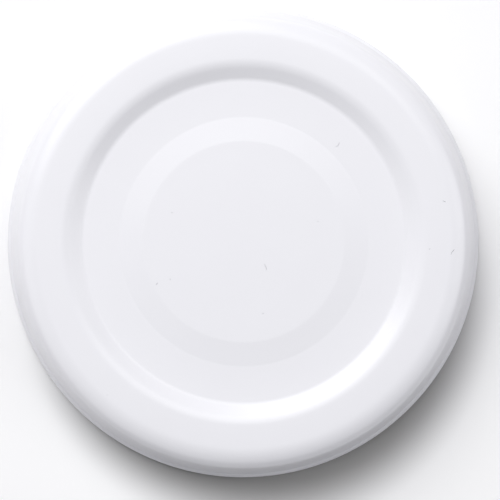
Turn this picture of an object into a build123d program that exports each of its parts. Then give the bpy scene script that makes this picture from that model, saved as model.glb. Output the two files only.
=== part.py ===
# White lacquered twist-off lid for a glass jar, nominal size 63.
# One drawn tinplate shell with a rolled edge and four pressed lugs, and the sealing ring cast into it.
# Millimetres, Z up. The lid stands on its rolled edge, with the origin at the middle of its footprint.
from build123d import *
import math
import os

# Driving dimensions
sheet = 0.20                    # tinplate with its lacquer
height = 9.9                    # rolled edge to top ring
roll_outer_radius = 33.0        # widest point of the rolled edge
skirt_taper = 10.0              # degrees the skirt widens toward its foot
skirt_inset = 0.4               # skirt's line passes this far inside the roll's widest point
shoulder_entry_radius = 4.2     # top ring bends gently over into the shoulder
shoulder_entry_turn = 28.0
shoulder_radius = 1.9           # tighter round from there down to the skirt

ring_width = 3.89               # shoulder to where the recess wall would meet the top ring
recess_wall_run = 2.13
recess_depth = 1.1
ring_edge_radius = 3.3          # soft round from top ring into the recess
recess_corner_radius = 1.5
panel_width = 5.22              # level panel between recess wall and button

button_rise = 0.3               # middle of the panel, pressed up as a shallow cone
button_run = 3.3

roll_radius = 0.95              # outside radius of the rolled edge's section
roll_wrap = 305.0               # degrees turned, from flare to raw edge
flare_radius = 0.5              # skirt bends out over this before it rolls in

lug_count = 4
lug_span = 20.0                 # degrees over which a lug has its full depth
lug_ramp = 4.0                  # degrees over which the roll is pressed in at either end
lug_dent_radius = 0.5           # outer underside of the roll, pressed in
lug_dent_turn = 80.0
lug_floor_length = 2.1          # nearly level metal under the lug
lug_floor_turn = 10.0
lug_nose_radius = 0.65

seal_thickness = 0.8            # cast sealing ring, under the top ring
seal_inset = 0.85               # its inner edge stands out from the recess wall's top

# Worked out from them: the skirt's straight line, then the rings inside it
taper = math.radians(skirt_taper)
down_skirt = Vector(math.sin(taper), -math.cos(taper))
out_of_skirt = Vector(math.cos(taper), math.sin(taper))
roll_centre = Vector(roll_outer_radius - roll_radius, roll_radius)
flare_offset = roll_radius - skirt_inset + flare_radius
flare_height = math.sqrt((flare_radius + roll_radius) ** 2 - flare_offset ** 2)
flare_turn = math.degrees(math.atan2(flare_height, flare_offset))
roll_top_turn = flare_turn + skirt_taper
skirt_foot = roll_centre + out_of_skirt * (roll_radius - skirt_inset) - down_skirt * flare_height

entry = math.radians(shoulder_entry_turn)
entry_run, entry_drop = math.sin(entry), 1 - math.cos(entry)
turn_run, turn_drop = math.cos(taper) - math.sin(entry), math.cos(entry) - math.sin(taper)
shoulder_run = shoulder_entry_radius * entry_run + shoulder_radius * turn_run
shoulder_drop = shoulder_entry_radius * entry_drop + shoulder_radius * turn_drop
skirt_top_radius = skirt_foot.X - (height - shoulder_drop - skirt_foot.Y) * math.tan(taper)

ring_outer_radius = skirt_top_radius - shoulder_run
recess_wall_top_radius = ring_outer_radius - ring_width
recess_floor_radius = recess_wall_top_radius - recess_wall_run
button_foot_radius = recess_floor_radius - panel_width
button_top_radius = button_foot_radius - button_run
seal_inner_radius = recess_wall_top_radius + seal_inset
panel_z = height - recess_depth
button_z = panel_z + button_rise
pitch = 360 / lug_count
join_tolerance = 0.0001

top_corners = [
    (0, button_z),
    (button_top_radius, button_z),
    (button_foot_radius, panel_z),
    (recess_floor_radius, panel_z),
    (recess_wall_top_radius, height),
    (ring_outer_radius, height),
]
top_rounds = [0, 0, recess_corner_radius, ring_edge_radius]


def top_and_skirt():
    """Outer skin from the axis out over the shoulder and down to where the skirt flares."""
    FilletPolyline(*top_corners, radius=top_rounds)
    bend = JernArc(top_corners[-1], (1, 0), shoulder_entry_radius, -shoulder_entry_turn)
    shoulder = JernArc(bend @ 1, bend % 1, shoulder_radius, shoulder_entry_turn + skirt_taper - 90)
    Line(shoulder @ 1, skirt_foot)


# Rolled edge: one run of three arcs below the roll's widest point, as (length, degrees turned)
def arc(radius, turn):
    return math.radians(turn) * radius, turn


dent_share, floor_share = 75.0, 30.0
nose_share = roll_wrap - roll_top_turn - dent_share - floor_share
plain_roll = [arc(roll_radius, turn) for turn in (dent_share, floor_share, nose_share)]
lug_roll = [
    arc(lug_dent_radius, lug_dent_turn),
    (lug_floor_length, lug_floor_turn),
    arc(lug_nose_radius, 180.0),
]


def roll_skin(start_radius, press, depth):
    """One skin of the sheet, depth inside the outer one. press runs from plain roll 0 to lug 1."""
    skin = []
    point, heading = Vector(start_radius, roll_radius), Vector(0, -1)
    for plain, lug in zip(plain_roll, lug_roll):
        length, turn = (p + (q - p) * press for p, q in zip(plain, lug))
        bend = JernArc(point, heading, length / math.radians(turn) - depth, -turn)
        skin.append(bend.edge())
        point, heading = bend @ 1, bend % 1
    return skin


def roll_section(press, angle):
    """Closed outline of the sheet below the roll's widest point, on the radial plane at angle."""
    outer = roll_skin(roll_outer_radius, press, 0)
    inner = roll_skin(roll_outer_radius - sheet, press, sheet)
    raw_edge = Edge.make_line(outer[-1] @ 1, inner[-1] @ 1)
    root = Edge.make_line(inner[0] @ 0, outer[0] @ 0)
    return Plane.XZ.rotated((0, 0, angle)) * Wire([*outer, raw_edge, *reversed(inner), root])


def ease(share):
    return share * share * (3 - 2 * share)


def ramp(centre, side):
    """Stretch where the roll is pressed from a lug's full depth back out to plain."""
    stations = (0, 0.5, 1)
    sections = [
        roll_section(1 - ease(share), centre + side * (lug_span / 2 + lug_ramp * share))
        for share in stations
    ]
    return Solid.make_loft(sections)


rolled_edge = []
for index in range(lug_count):
    centre = pitch * (index + 0.5)
    lug_end = centre + lug_span / 2
    lug_face = Face(roll_section(1, centre - lug_span / 2))
    plain_face = Face(roll_section(0, lug_end + lug_ramp))
    rolled_edge.append(Solid.revolve(lug_face, lug_span, Axis.Z))
    rolled_edge.append(Solid.revolve(plain_face, pitch - lug_span - 2 * lug_ramp, Axis.Z))
    rolled_edge.append(ramp(centre, 1))
    rolled_edge.append(ramp(centre, -1))

# Drawn shell, from the button out to the roll's widest point
with BuildPart() as drawn_shell:
    with BuildSketch(Plane.XZ):
        with BuildLine():
            top_and_skirt()
            flare = JernArc(skirt_foot, down_skirt, flare_radius, flare_turn)
            JernArc(flare @ 1, flare % 1, roll_radius, -roll_top_turn)
            offset(amount=sheet, side=Side.RIGHT, closed=True)
        make_face()
    revolve(axis=Axis.Z)

with BuildPart() as lid_shell:
    add(drawn_shell.part.solid().fuse(*rolled_edge, tol=join_tolerance))

# Sealing ring: fills the channel under the top ring, shaped by the sheet above it
with BuildPart() as sealing_ring:
    with BuildSketch(Plane.XZ):
        with BuildLine() as channel:
            top_and_skirt()
            offset(amount=sheet, side=Side.RIGHT, closed=False, mode=Mode.REPLACE)
            inside = channel.wire()
            Polyline(inside @ 1, (0, (inside @ 1).Y), inside @ 0)
        make_face()
        seal_corner = (seal_inner_radius, height - sheet - seal_thickness)
        with Locations(seal_corner):
            Rectangle(roll_outer_radius, height, align=Align.MIN, mode=Mode.INTERSECT)
    revolve(axis=Axis.Z)

# Files
os.makedirs("parts", exist_ok=True)
lid_shell.part.label = "lid_shell"
sealing_ring.part.label = "sealing_ring"
export_step(lid_shell.part, "parts/lid_shell.step")
export_step(sealing_ring.part, "parts/sealing_ring.step")
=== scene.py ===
import math

import bpy
from mathutils import Matrix, Vector, noise


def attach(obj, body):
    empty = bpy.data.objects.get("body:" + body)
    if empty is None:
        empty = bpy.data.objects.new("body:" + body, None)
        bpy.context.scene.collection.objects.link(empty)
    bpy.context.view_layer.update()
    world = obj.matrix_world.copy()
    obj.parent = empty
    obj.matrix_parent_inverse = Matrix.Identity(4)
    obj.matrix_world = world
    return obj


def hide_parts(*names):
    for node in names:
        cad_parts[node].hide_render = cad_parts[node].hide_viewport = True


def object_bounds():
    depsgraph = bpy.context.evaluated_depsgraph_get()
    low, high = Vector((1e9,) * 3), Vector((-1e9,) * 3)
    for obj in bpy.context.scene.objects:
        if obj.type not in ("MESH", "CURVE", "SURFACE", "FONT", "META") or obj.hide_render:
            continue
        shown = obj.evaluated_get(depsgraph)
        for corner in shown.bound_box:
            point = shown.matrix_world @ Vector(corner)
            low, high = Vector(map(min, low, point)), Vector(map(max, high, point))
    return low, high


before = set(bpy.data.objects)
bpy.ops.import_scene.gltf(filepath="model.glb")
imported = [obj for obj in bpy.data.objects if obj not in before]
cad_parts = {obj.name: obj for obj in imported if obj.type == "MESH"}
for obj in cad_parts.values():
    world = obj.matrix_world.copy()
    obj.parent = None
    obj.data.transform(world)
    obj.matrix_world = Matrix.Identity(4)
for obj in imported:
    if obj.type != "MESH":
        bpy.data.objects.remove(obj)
cad_low, cad_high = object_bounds()


# Lid shell
# One drawn sheet of tinplate, lacquered white on both sides: top, skirt and rolled edge.
# Its outer skin is turned in one piece, the roll is pressed into four lugs, and the sheet gets
# its thickness inward.
MM = 0.001
SHEET = 0.20 * MM
HEIGHT = cad_high.z
ROLL_OUTER_RADIUS = cad_high.x
SKIRT_INSET = 0.4 * MM
SKIRT_TAPER = 10.0
SHOULDER_ENTRY_RADIUS = 4.2 * MM
SHOULDER_ENTRY_TURN = 28.0
SHOULDER_RADIUS = 1.9 * MM
RECESS_WALL_TOP_RADIUS = 24.55 * MM
RECESS_FLOOR_RADIUS = 22.42 * MM
RECESS_DEPTH = 1.1 * MM
RING_EDGE_RADIUS = 3.3 * MM
RECESS_CORNER_RADIUS = 1.5 * MM
BUTTON_RISE = 0.3 * MM
BUTTON_FOOT_RADIUS = 17.2 * MM
BUTTON_TOP_RADIUS = 13.9 * MM
BUTTON_EDGE_RADIUS = 2.5 * MM
ROLL_RADIUS = 0.95 * MM
ROLL_WRAP = 305.0
FLARE_RADIUS = 0.5 * MM
LUG_COUNT = 4
LUG_SPAN = 20.0
LUG_RAMP = 4.0
LUG_DENT_RADIUS, LUG_DENT_TURN = 0.5 * MM, 80.0
LUG_FLOOR_LENGTH, LUG_FLOOR_TURN = 2.1 * MM, 10.0
LUG_NOSE_RADIUS, LUG_NOSE_TURN = 0.65 * MM, 180.0

# Degrees of the plain roll that a lug's dent and floor are pressed from; the nose takes the rest
DENT_SHARE, FLOOR_SHARE = 75.0, 30.0

# Facets round the axis, and along each round of the section
SIDES = 360
BUTTON_STEPS, RECESS_CORNER_STEPS, RING_EDGE_STEPS = 4, 5, 8
SHOULDER_ENTRY_STEPS, SHOULDER_STEPS = 8, 14
FLARE_STEPS, ROLL_TOP_STEPS = 8, 8
DENT_STEPS, FLOOR_STEPS, NOSE_STEPS = 8, 5, 14
SAME_POINT = 0.0001 * MM
SHELL_CREASE = math.radians(35)

LACQUER_FULL, LACQUER_THIN = (0.858, 0.856, 0.889, 1), (0.843, 0.839, 0.872, 1)
LACQUER_GLOSS = (0.27, 0.33)
LACQUER_PEEL = 0.004 * MM
PEEL_STRENGTH = 0.35
CLOUD_SCALE, CLOUD_DETAIL = 140, 3
PEEL_SCALE = 400

panel_z = HEIGHT - RECESS_DEPTH
button_z = panel_z + BUTTON_RISE
flare_offset = ROLL_RADIUS - SKIRT_INSET + FLARE_RADIUS
flare_height = math.sqrt((FLARE_RADIUS + ROLL_RADIUS) ** 2 - flare_offset ** 2)
flare_turn = math.degrees(math.atan2(flare_height, flare_offset))
roll_top_turn = flare_turn + SKIRT_TAPER
taper = math.radians(SKIRT_TAPER)
skirt_foot = Vector((ROLL_OUTER_RADIUS - ROLL_RADIUS, ROLL_RADIUS))
skirt_foot += (ROLL_RADIUS - SKIRT_INSET) * Vector((math.cos(taper), math.sin(taper)))
skirt_foot += flare_height * Vector((-math.sin(taper), math.cos(taper)))
entry = math.radians(SHOULDER_ENTRY_TURN)
shoulder_run = SHOULDER_ENTRY_RADIUS * math.sin(entry)
shoulder_run += SHOULDER_RADIUS * (math.cos(taper) - math.sin(entry))
shoulder_drop = SHOULDER_ENTRY_RADIUS * (1 - math.cos(entry))
shoulder_drop += SHOULDER_RADIUS * (math.cos(entry) - math.sin(taper))
skirt_top_radius = skirt_foot.x - (HEIGHT - shoulder_drop - skirt_foot.y) * math.tan(taper)
ring_outer_radius = skirt_top_radius - shoulder_run


def walk(start, heading, bends):
    """Points of (radius, z) along bends of (length, degrees turned to the right, steps)."""
    r, z = start
    angle = math.radians(heading)
    points = []
    for length, turn, steps in bends:
        for _ in range(steps):
            half = math.radians(turn) / steps / 2
            chord = length / steps * (math.sin(half) / half if half else 1)
            angle -= half
            r += chord * math.cos(angle)
            z += chord * math.sin(angle)
            angle -= half
            points.append((r, z))
    return points


def bend(radius, turn, steps):
    """A round of the section, as walk takes it."""
    return math.radians(abs(turn)) * radius, turn, steps


def drawn_outline():
    """Outer skin from the axis to the roll's widest point, each corner of the drawing rounded."""
    corners = [
        ((BUTTON_TOP_RADIUS, button_z), BUTTON_EDGE_RADIUS, BUTTON_STEPS),
        ((BUTTON_FOOT_RADIUS, panel_z), BUTTON_EDGE_RADIUS, BUTTON_STEPS),
        ((RECESS_FLOOR_RADIUS, panel_z), RECESS_CORNER_RADIUS, RECESS_CORNER_STEPS),
        ((RECESS_WALL_TOP_RADIUS, HEIGHT), RING_EDGE_RADIUS, RING_EDGE_STEPS),
    ]
    drawing = [(0, button_z), *(corner for corner, _, _ in corners), (ring_outer_radius, HEIGHT)]
    points = [drawing[0]]
    for before, (here, radius, steps), after in zip(drawing, corners, drawing[2:]):
        into = (Vector(here) - Vector(before)).normalized()
        out = (Vector(after) - Vector(here)).normalized()
        heading = math.degrees(math.atan2(into.y, into.x))
        turn = heading - math.degrees(math.atan2(out.y, out.x))
        start = Vector(here) - into * radius * math.tan(math.radians(abs(turn)) / 2)
        points.append(tuple(start))
        points += walk(start, heading, [bend(radius, turn, steps)])
    points.append(drawing[-1])
    shoulder = [
        bend(SHOULDER_ENTRY_RADIUS, SHOULDER_ENTRY_TURN, SHOULDER_ENTRY_STEPS),
        bend(SHOULDER_RADIUS, 90 - SKIRT_TAPER - SHOULDER_ENTRY_TURN, SHOULDER_STEPS),
    ]
    points += walk(points[-1], 0, shoulder)
    points.append(tuple(skirt_foot))
    flare_and_roll = [
        bend(FLARE_RADIUS, -flare_turn, FLARE_STEPS),
        bend(ROLL_RADIUS, roll_top_turn, ROLL_TOP_STEPS),
    ]
    points += walk(points[-1], SKIRT_TAPER - 90, flare_and_roll)
    return points


def roll_outline(press):
    """Outer skin below the roll's widest point. press runs from plain roll 0 to lug 1."""
    nose_share = ROLL_WRAP - roll_top_turn - DENT_SHARE - FLOOR_SHARE
    plain = [
        bend(ROLL_RADIUS, DENT_SHARE, DENT_STEPS),
        bend(ROLL_RADIUS, FLOOR_SHARE, FLOOR_STEPS),
        bend(ROLL_RADIUS, nose_share, NOSE_STEPS),
    ]
    lug = [
        bend(LUG_DENT_RADIUS, LUG_DENT_TURN, DENT_STEPS),
        (LUG_FLOOR_LENGTH, LUG_FLOOR_TURN, FLOOR_STEPS),
        bend(LUG_NOSE_RADIUS, LUG_NOSE_TURN, NOSE_STEPS),
    ]
    mixed = []
    for (length, turn, steps), (lug_length, lug_turn, _) in zip(plain, lug):
        length += (lug_length - length) * press
        turn += (lug_turn - turn) * press
        mixed.append((length, turn, steps))
    return walk((ROLL_OUTER_RADIUS, ROLL_RADIUS), -90, mixed)


def pressed(angle):
    """How far the roll is pressed in at an angle, from plain 0 to a lug's full depth 1."""
    pitch = 360 / LUG_COUNT
    away = abs((angle % pitch) - pitch / 2)
    share = min(max((away - LUG_SPAN / 2) / LUG_RAMP, 0), 1)
    return 1 - share * share * (3 - 2 * share)


def turned(name, outline):
    """A chain of (radius, z) points drawn in the XZ plane and spun round the axis."""
    bpy.ops.object.select_all(action="DESELECT")
    bpy.ops.mesh.primitive_plane_add(size=MM)
    piece = bpy.context.object
    piece.name = name
    bpy.ops.object.mode_set(mode="EDIT")
    bpy.ops.mesh.select_all(action="SELECT")
    bpy.ops.mesh.merge(type="CENTER")
    bpy.ops.transform.translate(value=(outline[0][0], 0, outline[0][1]))
    for (r0, z0), (r1, z1) in zip(outline, outline[1:]):
        step = {"value": (r1 - r0, 0, z1 - z0)}
        bpy.ops.mesh.extrude_vertices_move(TRANSFORM_OT_translate=step)
    bpy.ops.mesh.select_all(action="SELECT")
    bpy.ops.mesh.spin(steps=SIDES, angle=math.tau, center=(0, 0, 0), axis=(0, 0, 1))
    bpy.ops.mesh.select_all(action="SELECT")
    bpy.ops.mesh.remove_doubles(threshold=SAME_POINT)
    bpy.ops.mesh.normals_make_consistent(inside=False)
    bpy.ops.object.mode_set(mode="OBJECT")
    return piece


def place_on_section(radius, height):
    """Radius and height in whole steps, so that a mesh point finds its point of the outline."""
    return round(radius / SAME_POINT), round(height / SAME_POINT)


top_outline = drawn_outline()
shell = turned("lacquered_shell", top_outline + roll_outline(0))

# Each point of the roll moves to its place on the pressed outline for its angle
station = {place_on_section(*point): index for index, point in enumerate(roll_outline(0))}
for vertex in shell.data.vertices:
    x, y, z = vertex.co
    index = station.get(place_on_section(math.hypot(x, y), z))
    press = pressed(math.degrees(math.atan2(y, x)))
    if index is None or not press:
        continue
    radius, height = roll_outline(press)[index]
    vertex.co = Vector((x, y, 0)).normalized() * radius + Vector((0, 0, height))

solidify = shell.modifiers.new("sheet", "SOLIDIFY")
solidify.thickness = SHEET
solidify.offset = -1
bpy.ops.object.modifier_apply(modifier="sheet")
bpy.ops.object.shade_smooth_by_angle(angle=SHELL_CREASE)

lacquer = bpy.data.materials.new("white_lacquer")
lacquer.use_nodes = True
nodes, links = lacquer.node_tree.nodes, lacquer.node_tree.links
skin = nodes["Principled BSDF"]
place = nodes.new("ShaderNodeTexCoord")
# Film thickness varies a little: two near whites in soft clouds
clouds = nodes.new("ShaderNodeTexNoise")
clouds.inputs["Scale"].default_value = CLOUD_SCALE
clouds.inputs["Detail"].default_value = CLOUD_DETAIL
whites = nodes.new("ShaderNodeMix")
whites.data_type = "RGBA"
whites.inputs["A"].default_value = LACQUER_THIN
whites.inputs["B"].default_value = LACQUER_FULL
# Orange peel: the flow of the stoved lacquer, 2 to 3 mm across and a few microns deep
peel = nodes.new("ShaderNodeTexNoise")
peel.inputs["Scale"].default_value = PEEL_SCALE
peel.inputs["Detail"].default_value = 0
relief = nodes.new("ShaderNodeBump")
relief.inputs["Strength"].default_value = PEEL_STRENGTH
relief.inputs["Distance"].default_value = LACQUER_PEEL
gloss = nodes.new("ShaderNodeMapRange")
gloss.inputs["To Min"].default_value = LACQUER_GLOSS[0]
gloss.inputs["To Max"].default_value = LACQUER_GLOSS[1]
for texture in (clouds, peel):
    links.new(place.outputs["Object"], texture.inputs["Vector"])
links.new(clouds.outputs["Fac"], whites.inputs["Factor"])
links.new(whites.outputs["Result"], skin.inputs["Base Color"])
links.new(peel.outputs["Fac"], gloss.inputs["Value"])
links.new(gloss.outputs["Result"], skin.inputs["Roughness"])
links.new(peel.outputs["Fac"], relief.inputs["Height"])
links.new(relief.outputs["Normal"], skin.inputs["Normal"])
shell.data.materials.append(lacquer)
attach(shell, "root")
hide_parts("lid_shell")


# Sealing ring
# Plastisol poured into the channel behind the top ring while the lid spins, then baked to a
# soft rubber. It takes the shape of the metal above it; its free face is flat, with a slow
# swell left by the flow.
SEAL_THICKNESS = 0.8 * MM
SEAL_INNER_RADIUS = 25.4 * MM
SEAL_EDGE_RADIUS, SEAL_EDGE_STEPS = 0.3 * MM, 6
SEAL_CLEARANCE = 0.004 * MM
SEAL_INNER_GAP = 0.1 * MM
FREE_FACE_STEPS = 12
SEAL_CREASE = math.radians(40)

# The swell is on the free face alone: below this share of the depth, and clear of the metal
SWELL = 0.02 * MM
SWELL_SCALE = 110
SWELL_DEPTH = 0.6
SWELL_MARGIN = 0.2 * MM

SEAL_COLOUR, SEAL_DEEP_COLOUR = (0.79, 0.775, 0.735, 1), (0.73, 0.71, 0.66, 1)
SEAL_GLOSS = (0.36, 0.52)
SEAL_FLOW_SCALE, SEAL_FLOW_DETAIL = 260, 4
SEAL_PORE_SCALE, SEAL_PORE_DEPTH, SEAL_PORE_STRENGTH = 2600, 0.01 * MM, 0.3
SEAL_SCATTER, SEAL_SCATTER_DEPTH = 0.15, (0.6 * MM, 0.5 * MM, 0.4 * MM)

seal_z = HEIGHT - SHEET - SEAL_THICKNESS
metal_side = []
for here, after in zip(top_outline, top_outline[1:]):
    along = (Vector(after) - Vector(here)).normalized()
    point = Vector(here) + Vector((along.y, -along.x)) * (SHEET + SEAL_CLEARANCE)
    if point.x > SEAL_INNER_RADIUS + SEAL_INNER_GAP and point.y > seal_z:
        metal_side.append(tuple(point))
metal_top = HEIGHT - SHEET - SEAL_CLEARANCE
free_side = [(SEAL_INNER_RADIUS, metal_top), (SEAL_INNER_RADIUS, seal_z + SEAL_EDGE_RADIUS)]
free_side += walk(free_side[-1], -90, [bend(SEAL_EDGE_RADIUS, -90, SEAL_EDGE_STEPS)])
outer_edge = metal_side[-1][0]
face_start = free_side[-1][0]
across_face = (outer_edge - face_start) / FREE_FACE_STEPS
free_side += [(face_start + across_face * i, seal_z) for i in range(1, FREE_FACE_STEPS + 1)]
seal = turned("plastisol_ring", free_side + metal_side[::-1] + free_side[:1])
for vertex in seal.data.vertices:
    x, y, z = vertex.co
    depth = (metal_top - z) / SEAL_THICKNESS
    if math.hypot(x, y) < outer_edge - SWELL_MARGIN and depth > SWELL_DEPTH:
        vertex.co.z += SWELL * depth * noise.noise(Vector((x, y, 0)) * SWELL_SCALE)
bpy.ops.object.shade_smooth_by_angle(angle=SEAL_CREASE)

plastisol = bpy.data.materials.new("plastisol")
plastisol.use_nodes = True
nodes, links = plastisol.node_tree.nodes, plastisol.node_tree.links
rubber = nodes["Principled BSDF"]
place = nodes.new("ShaderNodeTexCoord")
flow = nodes.new("ShaderNodeTexNoise")
flow.inputs["Scale"].default_value = SEAL_FLOW_SCALE
flow.inputs["Detail"].default_value = SEAL_FLOW_DETAIL
creams = nodes.new("ShaderNodeMix")
creams.data_type = "RGBA"
creams.inputs["A"].default_value = SEAL_DEEP_COLOUR
creams.inputs["B"].default_value = SEAL_COLOUR
sheen = nodes.new("ShaderNodeMapRange")
sheen.inputs["To Min"].default_value = SEAL_GLOSS[0]
sheen.inputs["To Max"].default_value = SEAL_GLOSS[1]
pores = nodes.new("ShaderNodeTexNoise")
pores.inputs["Scale"].default_value = SEAL_PORE_SCALE
relief = nodes.new("ShaderNodeBump")
relief.inputs["Strength"].default_value = SEAL_PORE_STRENGTH
relief.inputs["Distance"].default_value = SEAL_PORE_DEPTH
for texture in (flow, pores):
    links.new(place.outputs["Object"], texture.inputs["Vector"])
links.new(flow.outputs["Fac"], creams.inputs["Factor"])
links.new(creams.outputs["Result"], rubber.inputs["Base Color"])
links.new(flow.outputs["Fac"], sheen.inputs["Value"])
links.new(sheen.outputs["Result"], rubber.inputs["Roughness"])
links.new(pores.outputs["Fac"], relief.inputs["Height"])
links.new(relief.outputs["Normal"], rubber.inputs["Normal"])
rubber.inputs["Subsurface Weight"].default_value = SEAL_SCATTER
rubber.inputs["Subsurface Radius"].default_value = SEAL_SCATTER_DEPTH
seal.data.materials.append(plastisol)
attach(seal, "root")
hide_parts("sealing_ring")


# Dust
# A few grey fibres and grains of lint that have settled on the lacquer, where the photograph
# shows them. Nothing holds them: they lie on the metal by their own weight.
FIBRE_THICKNESS = 0.035 * MM
FIBRE_SIDES = 8
FIBRE_CREASE = math.radians(40)
DUST_COLOUR, DUST_LIGHT_COLOUR = (0.09, 0.085, 0.11, 1), (0.2, 0.19, 0.22, 1)
DUST_ROUGHNESS = 0.9
STRAND_SCALE = 9000

# (x, y) of its middle and length, in mm, and direction in degrees from +X.
# Three of the fibres are kinked, so each of those is two of these end to end.
FIBRES = [
    (12.85, 13.2, 0.34, 20), (13.12, 13.5, 0.42, 68),
    (2.93, -3.3, 0.42, 112), (3.1, -3.72, 0.36, 88),
    (27.6, 5.56, 0.42, -22), (28.83, -1.27, 0.52, 48), (28.6, -1.6, 0.3, 70),
    (2.62, -9.9, 0.2, 30), (10.22, 2.8, 0.16, 10), (-9.92, 4.0, 0.22, -20),
    (-12.0, -5.8, 0.34, 50), (-10.15, -5.2, 0.18, 80), (25.6, -1.0, 0.22, 5),
]


def lacquer_height(radius):
    """Height of the lid's top at a radius."""
    for (r0, z0), (r1, z1) in zip(top_outline, top_outline[1:]):
        if r0 <= radius < r1:
            return z0 + (z1 - z0) * (radius - r0) / (r1 - r0)


bpy.ops.object.select_all(action="DESELECT")
bpy.ops.mesh.primitive_cylinder_add(vertices=FIBRE_SIDES, radius=FIBRE_THICKNESS / 2, depth=MM)
fibres = [bpy.context.object]
for _ in FIBRES[1:]:
    bpy.ops.object.duplicate()
    fibres.append(bpy.context.object)
for fibre, (x, y, length, direction) in zip(fibres, FIBRES):
    z = lacquer_height(math.hypot(x, y) * MM) + FIBRE_THICKNESS / 4
    fibre.location = x * MM, y * MM, z
    fibre.rotation_euler = math.radians(90), 0, math.radians(direction + 90)
    fibre.scale.z = length
    fibre.select_set(True)
bpy.ops.object.join()
dust = bpy.context.object
dust.name = "dust"
bpy.ops.object.transform_apply(location=True, rotation=True, scale=True)
bpy.ops.object.shade_smooth_by_angle(angle=FIBRE_CREASE)

lint = bpy.data.materials.new("lint")
lint.use_nodes = True
nodes, links = lint.node_tree.nodes, lint.node_tree.links
fluff = nodes["Principled BSDF"]
place = nodes.new("ShaderNodeTexCoord")
strands = nodes.new("ShaderNodeTexNoise")
strands.inputs["Scale"].default_value = STRAND_SCALE
greys = nodes.new("ShaderNodeMix")
greys.data_type = "RGBA"
greys.inputs["A"].default_value = DUST_COLOUR
greys.inputs["B"].default_value = DUST_LIGHT_COLOUR
links.new(place.outputs["Object"], strands.inputs["Vector"])
links.new(strands.outputs["Fac"], greys.inputs["Factor"])
links.new(greys.outputs["Result"], fluff.inputs["Base Color"])
fluff.inputs["Roughness"].default_value = DUST_ROUGHNESS
dust.data.materials.append(lint)
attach(dust, "root")


# Floor
# Plain white ground for the picture. It is darker in a soft-edged round patch under and below
# the lid, which deepens the lid's shadow to what the photograph shows.
FLOOR_SIZE = 4
FLOOR_COLOUR = (0.955, 0.953, 0.957, 1)
FLOOR_ROUGHNESS, FLOOR_SHINE = 0.8, 0.2
SHADE_CENTRE = (2.3 * MM, -8.4 * MM, 0)
SHADE_REACH = (25 * MM, 34 * MM)
SHADE_COLOUR = (0.38, 0.376, 0.37, 1)

bpy.ops.object.select_all(action="DESELECT")
bpy.ops.mesh.primitive_plane_add(size=FLOOR_SIZE)
floor = bpy.context.object
floor.name = "floor"
ground = bpy.data.materials.new("white_ground")
ground.use_nodes = True
nodes, links = ground.node_tree.nodes, ground.node_tree.links
surface = nodes["Principled BSDF"]
surface.inputs["Roughness"].default_value = FLOOR_ROUGHNESS
surface.inputs["Specular IOR Level"].default_value = FLOOR_SHINE
place = nodes.new("ShaderNodeTexCoord")
away = nodes.new("ShaderNodeVectorMath")
away.operation = "DISTANCE"
away.inputs[1].default_value = SHADE_CENTRE
shade = nodes.new("ShaderNodeMapRange")
shade.interpolation_type = "SMOOTHSTEP"
shade.inputs["From Min"].default_value = SHADE_REACH[0]
shade.inputs["From Max"].default_value = SHADE_REACH[1]
tone = nodes.new("ShaderNodeMix")
tone.data_type = "RGBA"
tone.inputs["A"].default_value = SHADE_COLOUR
tone.inputs["B"].default_value = FLOOR_COLOUR
links.new(place.outputs["Object"], away.inputs[0])
links.new(away.outputs["Value"], shade.inputs["Value"])
links.new(shade.outputs["Result"], tone.inputs["Factor"])
links.new(tone.outputs["Result"], surface.inputs["Base Color"])
floor.data.materials.append(ground)


# Lamps
# Round soft boxes at one distance from the lid: a large one at the upper left that lights the
# shoulder, and four weaker ones that fill in the other sides.
LAMP_DISTANCE = 0.9
# Elevation and direction from +X in degrees, half-angle seen from the lid, watts
LAMPS = {
    "key": (46, 122, 24, 6.54),
    "back": (66, 60, 14, 0.92),
    "overhead": (80, 120, 9, 0.28),
    "right": (40, 0, 18, 1.76),
    "left": (42, 195, 16, 0.72),
}

for name, (elevation, direction, half_angle, watts) in LAMPS.items():
    lamp = bpy.data.lights.new(name, "AREA")
    lamp.shape = "DISK"
    lamp.size = 2 * LAMP_DISTANCE * math.tan(math.radians(half_angle))
    lamp.energy = watts
    lamp_object = bpy.data.objects.new(name, lamp)
    up, round_z = math.radians(elevation), math.radians(direction)
    level = math.cos(up)
    toward = Vector((level * math.cos(round_z), level * math.sin(round_z), math.sin(up)))
    lamp_object.location = toward * LAMP_DISTANCE
    lamp_object.rotation_euler = toward.to_track_quat("Z", "Y").to_euler()
    lamp_object.visible_camera = False
    bpy.context.collection.objects.link(lamp_object)


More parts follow.
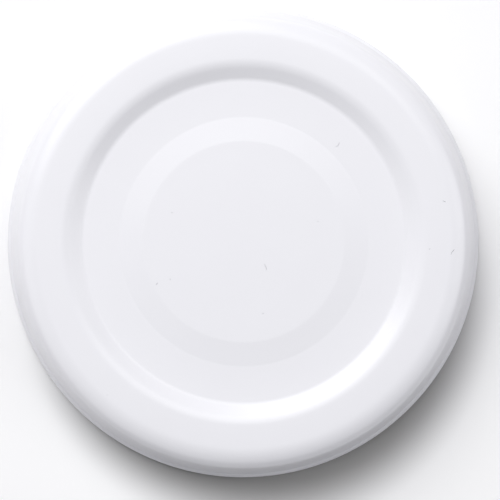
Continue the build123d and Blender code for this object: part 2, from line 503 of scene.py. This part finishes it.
# Room
# Weak, slightly cool light from all round, as from a studio's white walls. Where the camera
# looks past the floor it sees plain white.
ROOM_COLOUR = (0.93, 0.935, 1, 1)
ROOM_STRENGTH = 0.2
BACKDROP_COLOUR = (1, 1, 1, 1)

world = bpy.data.worlds.new("studio")
bpy.context.scene.world = world
world.use_nodes = True
nodes, links = world.node_tree.nodes, world.node_tree.links
room = nodes["Background"]
room.inputs["Color"].default_value = ROOM_COLOUR
room.inputs["Strength"].default_value = ROOM_STRENGTH
backdrop = nodes.new("ShaderNodeBackground")
backdrop.inputs["Color"].default_value = BACKDROP_COLOUR
seen = nodes.new("ShaderNodeLightPath")
choice = nodes.new("ShaderNodeMixShader")
links.new(seen.outputs["Is Camera Ray"], choice.inputs["Fac"])
links.new(room.outputs["Background"], choice.inputs[1])
links.new(backdrop.outputs["Background"], choice.inputs[2])
links.new(choice.outputs["Shader"], nodes["World Output"].inputs["Surface"])


# Camera
# It looks almost straight down, leaning a degree to the left, and the lid sits a little up and
# to the left of the picture's middle. The picture's top is +Y.
CAMERA_DISTANCE = 500 * MM
CAMERA_LEAN = Vector((-0.014, -0.003, 1)).normalized()
CAMERA_NEAR = 10 * MM
PICTURE_WIDTH = 70.12 * MM
PICTURE_MIDDLE = Vector((0.96 * MM, -1.12 * MM, ROLL_RADIUS))
SENSOR_WIDTH = 36

camera = bpy.data.cameras.new("camera")
camera.sensor_width = SENSOR_WIDTH
camera.lens = SENSOR_WIDTH * CAMERA_DISTANCE / PICTURE_WIDTH
camera.clip_start = CAMERA_NEAR
camera_object = bpy.data.objects.new("camera", camera)
camera_object.location = PICTURE_MIDDLE + CAMERA_LEAN * CAMERA_DISTANCE
across = Vector((0, 1, 0)).cross(CAMERA_LEAN).normalized()
turn = Matrix((across, CAMERA_LEAN.cross(across), CAMERA_LEAN)).transposed()
camera_object.rotation_euler = turn.to_euler()
bpy.context.collection.objects.link(camera_object)
bpy.context.scene.camera = camera_object
bpy.context.scene.view_settings.view_transform = "Standard"
